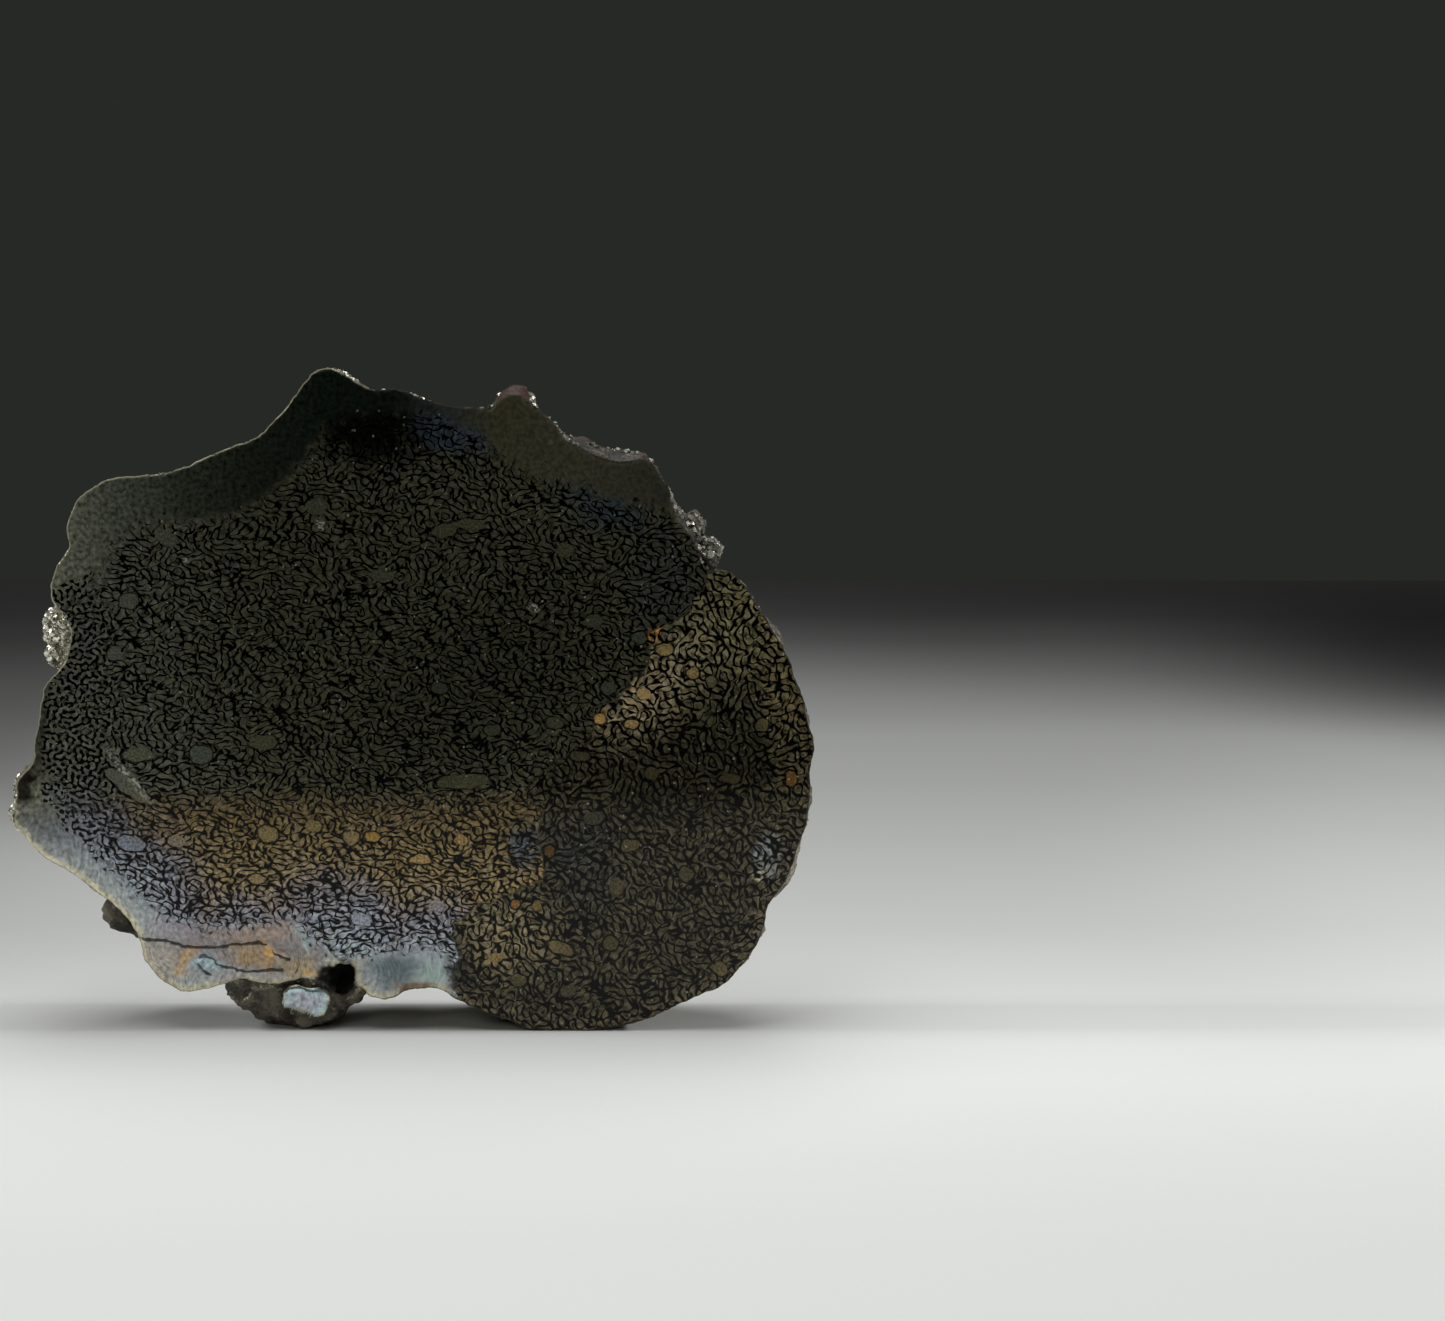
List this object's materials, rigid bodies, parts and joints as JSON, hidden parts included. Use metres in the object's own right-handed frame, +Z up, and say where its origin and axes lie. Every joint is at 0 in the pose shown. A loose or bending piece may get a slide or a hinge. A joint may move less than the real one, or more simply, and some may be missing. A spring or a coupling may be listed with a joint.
{
  "type": "fossil pliosaur bone",
  "caption": "Upright slab of pyritised pliosaur bone with a flat polished face, a lumpy crusted rim and two natural feet.",
  "frame": {"origin": "on the surface that the slab stands on, below the middle of its bounding box", "axes": "-Y out of the polished face, +X to the right as the polished face is looked at, +Z up"},
  "size_m": [0.144, 0.018, 0.1185],
  "materials": {
    "pyritised_bone": "polished metallic bone mesh on the face, rough crusted rim, dull dark matrix on the foot"
  },
  "bodies": {
    "root": {"pliosaur_bone_slab": "pyritised_bone"}
  },
  "joints": []
}
